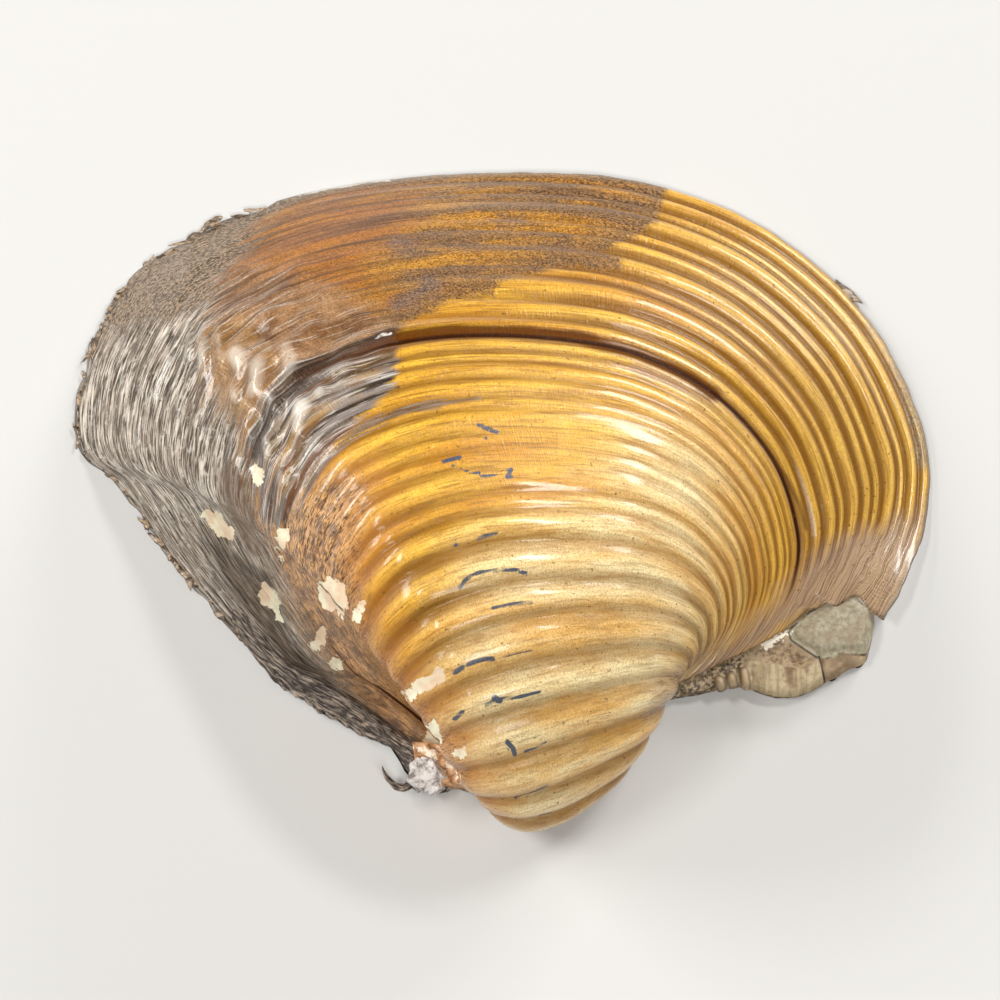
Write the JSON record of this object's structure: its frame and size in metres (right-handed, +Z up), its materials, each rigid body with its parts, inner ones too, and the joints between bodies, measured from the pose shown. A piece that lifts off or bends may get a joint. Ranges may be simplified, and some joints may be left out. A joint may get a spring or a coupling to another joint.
{
  "type": "river mussel shell",
  "caption": "Left valve of a swollen river mussel shell, ridged and glossy outside, hollow beneath, lying on its rim with the torn rest of its ligament behind the beak.",
  "frame": {"origin": "under the middle of the bounding box, on the plane of the rim that the valve rests on", "axes": "+X to the front end, +Y from the beak to the lower edge, +Z up out of the rim plane"},
  "size_m": [0.06, 0.05, 0.0176],
  "materials": {
    "horny_skin": "glossy horny skin over shell, golden to brown, mother-of-pearl inside",
    "dried_ligament": "dried, dark and rough"
  },
  "bodies": {
    "root": {"valve": "horny_skin", "ligament": "dried_ligament"}
  },
  "joints": []
}
